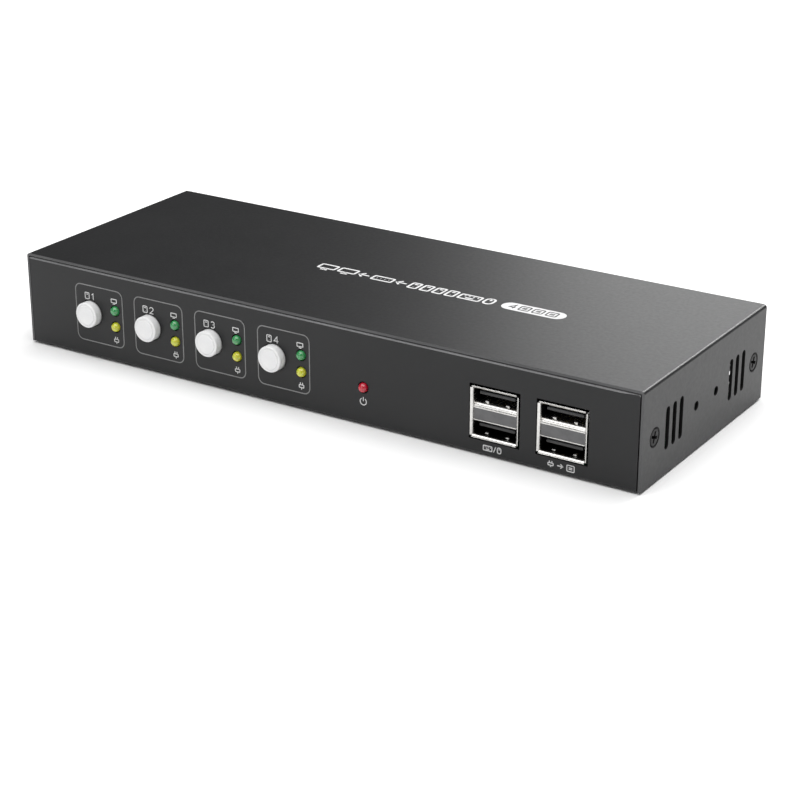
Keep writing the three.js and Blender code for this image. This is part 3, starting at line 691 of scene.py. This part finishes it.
def stacked_mesh():
    """Two stacked mouths in a steel box with four flared lips, black tongues and contacts."""
    low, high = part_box("stacked_socket_shell_1")
    width, height, depth = [(high[i] - low[i]) / MM for i in (0, 2, 1)]
    pitch, flare, notch = 9.4, 0.85, 0.5
    half_x, half_z = width / 2 - flare - 0.1, height / 2 - flare - 0.2
    face_y, box_depth, plate, thick = 0.8, 9.5, 2.6, 0.3
    # The walls inside take the near-black steel: painted shade.
    tongue, contact, shaded_wall, shaded_plate_face = 1, 2, 3, 4
    outer = rectangle(2 * (half_x + thick), 2 * (half_z + thick), 0.3)
    inner = rectangle(2 * half_x, 2 * half_z, 0.15)
    bm = bmesh.new()
    for turn, reach, along in ((0, half_z, half_x), (1, half_x, half_z)):
        for half_turns in (0, 2):
            flared_lip(bm, reach, 2 * along + notch, turn + half_turns)
    loft(bm, [
        (outer, box_depth),
        (outer, 1.2),
        (inner, 1.2, shaded_wall),
        (inner, box_depth - 0.4),
    ])
    # The plate between the mouths: a round fold along its top, in the bright nickel, and a thin
    # one along its bottom. Its face is in the darker steel, painted shade.
    fold, hem = 1.6, 0.16
    edge = [(face_y + fold - fold * math.cos(t), plate - fold + fold * math.sin(t))
            for t in [math.pi / 2 * i / 6 for i in range(7)]]
    prism_x(bm, [*edge, (box_depth - 1, plate), (box_depth - 1, plate - fold)],
            -half_x, half_x, 0)
    slab(bm, (-half_x, half_x), (face_y, box_depth - 1), (-plate, plate - fold), 0, shaded_plate_face)
    slab(bm, (-half_x, half_x), (face_y - hem, face_y + 1), (-plate, -plate + 2 * hem), 0.1, 0)
    body = rectangle(2 * half_x - 0.2, 2 * half_z - 0.2, 0.3)
    loft(bm, [(body, box_depth - 0.3), (body, depth)], shaded_wall)
    for row in (-pitch / 2, pitch / 2):
        slab(bm, (-5.6, 5.6), (1.9, box_depth), (row + 0.05, row + 1.05), 0.3, tongue)
        for i in range(4):
            x = (i - 1.5) * 2.3
            slab(bm, (x - 0.55, x + 0.55), (3.0, box_depth), (row - 0.05, row + 0.1), 0,
                 contact)
        floor = -half_z if row < 0 else plate
        for x in (-3.2, 3.2):
            slab(bm, (x - 0.6, x + 0.6), (1.9, 3.5), (floor - 0.1, floor + 0.55), 0.25, 0)
    return finished(bm, "stacked_socket", [NICKEL, TONGUE, GOLD, INNER_SHADE_STEEL, SHADE_FACE_STEEL])


def power_mesh():
    """A small power socket: a flared steel shell, wide above, round a black tongue."""
    def outline(grow):
        wide, narrow, top = 3.45 + grow, 2.7 + grow * 0.6, 0.95 + grow
        corners = [(-narrow, -top), (narrow, -top), (wide, -0.1), (wide, top), (-wide, top),
                   (-wide, -0.1)]
        return rounded(corners, 0.2 + max(grow, 0) * 0.6)

    depth = 5.4
    plastic, contact = 1, 2
    bm = bmesh.new()
    loft(bm, [
        (outline(0.28), depth),
        (outline(0.28), 0.4),
        (outline(0.42), 0.05),
        (outline(0.36), 0.0),
        (outline(0.12), 0.25),
        (outline(0.0), 0.6),
        (outline(0.0), depth - 0.8),
    ])
    slab(bm, (-1.85, 1.85), (0.7, depth - 0.6), (0.1, 0.6), 0.08, plastic)
    for i in range(5):
        x = (i - 2) * 0.65
        slab(bm, (x - 0.18, x + 0.18), (0.9, depth - 0.9), (0.05, 0.14), 0, contact)
    # The shell is in the darker steel: painted shade.
    return finished(bm, "power_socket_body", [SHADE_FACE_STEEL, BLACK, GOLD])


def build_sockets():
    video = video_mesh()
    for node in sorted(name for name in NODES if name.startswith("video_")):
        piece(f"{node}_shape", video, mouth(node, True), replaced=(node,))
    square = square_mesh()
    for number in CHANNELS:
        shell, insert = f"square_socket_shell_{number}", f"square_socket_insert_{number}"
        place = mouth(shell, True)
        piece(f"square_socket_{number}", square, place, replaced=(shell, insert))
    stacked = stacked_mesh()
    for number in (1, 2):
        shell, insert = f"stacked_socket_shell_{number}", f"stacked_socket_insert_{number}"
        place = mouth(shell)
        piece(f"stacked_socket_{number}", stacked, place, replaced=(shell, insert))
    place = mouth("power_socket", True)
    piece("power_socket_shape", power_mesh(), place, replaced=("power_socket",))


# ---------------------------------------------------------------- printed marks

# A mark is a list of strokes, and a stroke is (points, closed) in a cell one unit high.
# Each mark starts at x = 0, and MARKS gives it with its width.


def arc(x, y, radius, start, end, steps=14, squash=1.0):
    """Points along an arc, with its angles in degrees."""
    turns = [math.radians(start + (end - start) * i / steps) for i in range(steps + 1)]
    return [(x + radius * math.cos(t), y + radius * squash * math.sin(t)) for t in turns]


def ring(x, y, radius, squash=1.0, steps=20):
    """A closed circle or ellipse."""
    return (arc(x, y, radius, 0, 360 * (steps - 1) / steps, steps - 1, squash), True)


def frame_of(x0, y0, x1, y1, radius=0.1):
    """A closed rounded rectangle between two corners."""
    corners = [(x0, y0), (x1, y0), (x1, y1), (x0, y1)]
    return (rounded(corners, radius, 3), True)


def line(*points):
    """An open stroke."""
    return (list(points), False)


def tower():
    """A desktop computer's case."""
    drive, lamp = line((0.2, 0.74), (0.46, 0.74)), line((0.33, 0.28), (0.33, 0.3))
    return [frame_of(0, 0, 0.66, 1), drive, lamp]


def screen():
    """A display on its foot."""
    return [frame_of(0, 0.26, 1.35, 1), line((0.4, 0), (0.95, 0)), line((0.675, 0), (0.675, 0.26))]


def keyboard():
    """A keyboard with a row of keys and a space bar."""
    keys = [line((0.3 + 0.33 * i, 0.6), (0.4 + 0.33 * i, 0.6)) for i in range(4)]
    return [frame_of(0, 0.05, 1.6, 0.85), *keys, line((0.5, 0.3), (1.1, 0.3))]


def mouse():
    """A mouse with its two buttons and wheel."""
    return [frame_of(0, 0, 0.66, 1, 0.3), line((0.33, 1), (0.33, 0.6))]


def switch_box():
    """The switch itself: a low box with four buttons."""
    buttons = [line((0.3 + 0.32 * i, 0.5), (0.34 + 0.32 * i, 0.5)) for i in range(4)]
    return [frame_of(0, 0.15, 1.6, 0.85), *buttons]


MARKS = {
    "1": ([line((0.02, 0.76), (0.26, 1), (0.26, 0))], 0.3),
    "2": ([line(*arc(0.28, 0.7, 0.28, 170, -35), (0.02, 0), (0.58, 0))], 0.58),
    "3": ([line(*arc(0.26, 0.74, 0.26, 150, -80), (0.2, 0.52)),
           line((0.2, 0.52), *arc(0.27, 0.27, 0.28, 75, -150))], 0.56),
    "4": ([line((0.46, 0), (0.46, 1), (0.0, 0.3), (0.64, 0.3))], 0.64),
    "a": ([line((0, 0), (0.34, 1), (0.68, 0)), line((0.13, 0.36), (0.55, 0.36))], 0.68),
    "b": ([line((0.3, 0.52), (0, 0.52), (0, 1), (0.3, 1), *arc(0.32, 0.76, 0.24, 90, -90)),
           line((0.3, 0.52), *arc(0.34, 0.26, 0.26, 90, -90), (0, 0), (0, 0.52))], 0.6),
    "slash": ([line((0, 0), (0.4, 1))], 0.4),
    "bar": ([line((0.1, 0), (0.1, 1))], 0.2),
    "circle": ([ring(0.45, 0.5, 0.45)], 0.9),
    "arrow_in": ([line((0, 0.5), (0.8, 0.5)), line((0.45, 0.85), (0.8, 0.5), (0.45, 0.15))], 0.8),
    "arrow_out": ([line((0.8, 0.5), (0, 0.5)), line((0.35, 0.85), (0, 0.5), (0.35, 0.15))], 0.8),
    "screen": (screen(), 1.35),
    "tower": (tower(), 0.66),
    "keyboard": (keyboard(), 1.6),
    "mouse": (mouse(), 0.66),
    "switch_box": (switch_box(), 1.6),
    "power": ([line(*arc(0.5, 0.45, 0.45, 55, -235, 24)), line((0.5, 0.5), (0.5, 1.05))], 1.0),
    "direct": ([line((0, 0.68), (1.4, 0.68)), line((0, 0.32), (0.34, 0.32)),
                line((0.53, 0.32), (0.87, 0.32)), line((1.06, 0.32), (1.4, 0.32))], 1.4),
    "plug": ([frame_of(0, 0.27, 0.76, 0.68, 0.1), line((0.2, 0.68), (0.2, 1.02)),
              line((0.56, 0.68), (0.56, 1.02)), line((0.38, 0.27), (0.38, -0.02))], 0.76),
    "socket": ([frame_of(0, 0, 1.05, 1, 0.12), line((0.27, 0.38), (0.78, 0.38)),
                line((0.27, 0.62), (0.78, 0.62))], 1.05),
}
for digit in "1234":
    strokes, span = MARKS[digit]
    small = [([(0.5 + (x - span / 2) * 0.55, 0.23 + y * 0.55) for x, y in points], closed)
             for points, closed in strokes]
    MARKS["ringed_" + digit] = ([ring(0.5, 0.5, 0.5), *small], 1.0)


def row_of(names, x, z, height, gap=0.35, stretch=1.0):
    """Strokes of a row of marks centred at (x, z), in millimetres."""
    total = sum(MARKS[name][1] * stretch for name in names) + gap * (len(names) - 1)
    left = x - total * height / 2
    strokes = []
    for name in names:
        mark, span = MARKS[name]
        for points, closed in mark:
            moved = [(left + a * height * stretch, z + (b - 0.5) * height) for a, b in points]
            strokes.append((moved, closed))
        left += (span * stretch + gap) * height
    return strokes


def box_stroke(x0, x1, z0, z1, radius):
    """The stroke of a large rounded outline."""
    return (rounded([(x0, z0), (x1, z0), (x1, z1), (x0, z1)], radius, 5), True)


INK_SUNK = 0.03  # how deep the ink starts inside the surface
INK_PROUD = 0.04  # and how far it stands out


def add_stroke(bm, stroke, width, lay, proud):
    """A flat ribbon along a stroke. lay(a, b, height) gives a point of the printed face."""
    points, closed = stroke
    points = [Vector(point) for point in points]
    count = len(points)
    edges = []
    for i, point in enumerate(points):
        before = points[i - 1] if closed or i > 0 else point
        after = points[(i + 1) % count] if closed or i < count - 1 else point
        towards = (after - point).normalized() if (after - point).length > 1e-9 else None
        came = (point - before).normalized() if (point - before).length > 1e-9 else None
        came, towards = came or towards, towards or came
        across = Vector((-(came + towards).y, (came + towards).x)).normalized()
        mitre = max(across.dot(Vector((-towards.y, towards.x))), 0.45)
        edges.append((point + across * width / 2 / mitre, point - across * width / 2 / mitre))
    rings = []
    for left, right in edges:
        corners = [(left, -INK_SUNK), (left, proud), (right, proud), (right, -INK_SUNK)]
        rings.append([bm.verts.new(Vector(lay(p.x, p.y, h)) * MM) for p, h in corners])
    spans = list(zip(rings, rings[1:]))
    if closed:
        spans.append((rings[-1], rings[0]))
    for ring_a, ring_b in spans:
        for i in range(4):
            j = (i + 1) % 4
            bm.faces.new((ring_a[i], ring_a[j], ring_b[j], ring_b[i]))
    if not closed:
        bm.faces.new(rings[0])
        bm.faces.new(rings[-1])


def add_patch(bm, outline, lay):
    """A filled patch of ink inside an outline."""
    rings = [[bm.verts.new(Vector(lay(a, b, height)) * MM) for a, b in outline]
             for height in (-INK_SUNK, INK_PROUD)]
    for i in range(len(outline)):
        j = (i + 1) % len(outline)
        bm.faces.new((rings[0][i], rings[0][j], rings[1][j], rings[1][i]))
    for face in rings:
        bm.faces.new(face)


def on_front(a, b, height):
    """A point of the front panel: a along +X, b up."""
    return (a, -PANEL - height, b)


def on_rear(a, b, height):
    """A point of the rear panel: a to the right as seen from behind, b up."""
    return (-a, PANEL + height, b)


def on_top(a, b, height):
    """A point of the cover's top: a along +X, b towards the rear."""
    return (a, b, CASE_HIGH.z + height)


def print_piece(name, strokes, width, lay, used=INK, proud=INK_PROUD, body="case", place=None):
    """One piece of ink that holds many strokes."""
    bm = bmesh.new()
    for stroke in strokes:
        add_stroke(bm, stroke, width, lay, proud)
    mesh = finished(bm, name, [used], 30)
    return piece(name, mesh, place or Matrix.Identity(4), body)


def print_front():
    outlines, marks = [], []
    for number in CHANNELS:
        button = centre(f"button_cap_{number}")
        lamp = centre(f"green_lamp_{number}")
        outlines.append(box_stroke(button.x - 5.45, button.x + 12.6, 5.1, 23.0, 2.0))
        marks += row_of(["tower", str(number)], button.x - 0.15, 19.6, 1.95, 0.5, 1.2)
        marks += row_of(["screen"], lamp.x - 0.3, 19.6, 1.5)
        marks += row_of(["plug"], lamp.x, 7.25, 2.1)
    marks += row_of(["power"], centre("power_lamp").x, 7.3, 2.3)
    first, second = centre("stacked_socket_shell_1"), centre("stacked_socket_shell_2")
    marks += row_of(["keyboard", "slash", "mouse"], first.x - 0.5, 2.5, 1.7, 0.3)
    marks += row_of(["plug", "arrow_in", "socket"], second.x, 2.5, 1.75, 0.7, 1.2)
    print_piece("front_outlines", outlines, 0.32, on_front, LINE_INK)
    print_piece("front_marks", marks, 0.27, on_front)


def print_rear():
    low, high = -CASE_HIGH.x + 28.9, CASE_HIGH.x - 4.1
    outlines = [box_stroke(low, high, 16.5, 26.6, 1.2), box_stroke(low, high, 1.3, 15.8, 1.2)]
    marks = []
    for row in "ab":
        z = {"a": 2.75, "b": 17.75}[row]
        x = -centre(f"video_out_{row}").x
        marks += row_of(["arrow_in", "screen", row], x, z, 1.75, 0.6, 1.15)
        for number in CHANNELS:
            x = -centre(f"video_in_{number}_{row}").x
            names = ["tower", "arrow_in", f"ringed_{number}", row]
            marks += row_of(names, x, z, 1.9, 0.75, 1.15)
    for number in CHANNELS:
        x = -centre(f"square_socket_shell_{number}").x
        marks += row_of(["plug", f"ringed_{number}"], x, 2.8, 1.7, 0.7, 1.1)
        column = -centre(f"video_in_{number}_a").x
        outlines.append(box_stroke(column - 26.0, column + 8.35, 1.5, 26.1, 1.2))
    rocker = -centre("rocker_frame").x
    marks += row_of(["circle", "slash", "bar"], rocker, 22.7, 2.0, 0.5, 1.2)
    marks += row_of(["direct"], rocker, 2.8, 1.8, 0.3, 1.6)
    print_piece("rear_outlines", outlines, 0.26, on_rear, LINE_INK)
    print_piece("rear_marks", marks, 0.26, on_rear)


def print_top():
    """What the switch does, in pictures, then a white label for its four channels."""
    y, height = -1.25, 4.3
    names = ["screen", "screen", "arrow_out", "switch_box", "arrow_out", "tower", "tower",
             "tower", "tower", "keyboard", "mouse"]
    total = sum(MARKS[name][1] for name in names)
    gap = (60.5 / height - total) / (len(names) - 1)
    print_piece("top_marks", row_of(names, 7.95, y, height, gap), 0.68, on_top)
    bm = bmesh.new()
    add_patch(bm, rectangle(20.4, 5.6, 2.75, 51.3, y, 10), on_top)
    piece("top_label", finished(bm, "top_label", [INK], 30))
    digits = row_of(["4", "socket", "socket", "socket"], 51.3, y, 3.0, 0.42)
    print_piece("top_label_marks", digits, 0.45, on_top, DARK_INK, 0.08)


def print_rocker():
    """A ring on the half that is pressed for off, and a bar on the other."""
    joint = next(joint for joint in frame["joints"] if joint["child"] == "rocker")
    tilt = math.radians((joint["range_deg"][1] - joint["range_deg"][0]) / 2)
    place = Matrix.Translation(joint["pos_m"]) @ Matrix.Rotation(math.pi + tilt, 4, "Z")
    slope = math.tan(math.radians(4.5))
    face = 2.4

    def on_rocker(a, b, height):
        return (a, -face - slope * abs(a) - height, b)

    symbols = [ring(-2.5, 0, 1.2, 1.0, 32), line((1.1, 0), (3.8, 0))]
    print_piece("rocker_marks", symbols, 0.24, on_rocker, LINE_INK, body="rocker",
                place=place)


# ---------------------------------------------------------------- the studio


def build_camera():
    azimuth, elevation, distance = math.radians(32.5), math.radians(22.5), 0.6287
    aim = Vector((5.9, -0.5, -8.7)) * MM
    back = Vector((
        math.sin(azimuth) * math.cos(elevation),
        -math.cos(azimuth) * math.cos(elevation),
        math.sin(elevation),
    ))
    data = bpy.data.cameras.new("camera")
    data.lens = 93.9
    data.sensor_width = 36
    data.clip_start = 0.01
    camera = bpy.data.objects.new("camera", data)
    camera.location = aim + back * distance
    camera.rotation_euler = back.to_track_quat("Z", "Y").to_euler()
    bpy.context.scene.collection.objects.link(camera)
    bpy.context.scene.camera = camera


def add_panel(name, location, target, size, watts):
    """A rectangular soft light aimed at a point."""
    data = bpy.data.lights.new(name, "AREA")
    data.shape = "RECTANGLE"
    data.size, data.size_y = size
    data.energy = watts
    light = bpy.data.objects.new(name, data)
    light.location = location
    away = Vector(location) - Vector(target)
    light.rotation_euler = away.to_track_quat("Z", "Y").to_euler()
    bpy.context.scene.collection.objects.link(light)


def build_studio():
    scene = bpy.context.scene
    scene.view_settings.view_transform = "Standard"
    world = bpy.data.worlds.new("studio")
    world.use_nodes = True
    world.node_tree.nodes["Background"].inputs["Color"].default_value = (1, 1, 1, 1)
    world.node_tree.nodes["Background"].inputs["Strength"].default_value = 0.06
    scene.world = world
    mesh = bpy.data.meshes.new("floor")
    reach, below = 4.0, -0.0003
    corners = [(-reach, -reach, below), (reach, -reach, below), (reach, reach, below),
               (-reach, reach, below)]
    mesh.from_pydata(corners, [], [(0, 1, 2, 3)])
    paper = material("pale_paper", (0.9, 0.9, 0.9), 0.9, Specular_IOR_Level=0.1)
    vary_color(paper, noise(paper, 3, 2), (0.88, 0.88, 0.88), (0.92, 0.92, 0.92))
    mesh.materials.append(paper)
    floor = bpy.data.objects.new("floor", mesh)
    scene.collection.objects.link(floor)
    middle = (0, 0, 0.01)
    add_panel("overhead", (0.0, -0.1, 1.6), middle, (2.2, 2.2), 44)
    add_panel("behind", (-0.2, 1.5, 0.62), middle, (1.1, 0.7), 6.6)
    add_panel("fold", (0.3, 1.3, 0.95), middle, (0.6, 0.25), 11)
    add_panel("right", (1.3, -0.3, 1.1), middle, (0.9, 0.9), 2)
    add_panel("front", (-0.3, -1.6, 0.8), middle, (1.2, 0.8), 6)


build_camera()
build_case()
dress_insides()
build_screws()
build_controls()
build_sockets()
print_front()
print_rear()
print_top()
print_rocker()
build_studio()
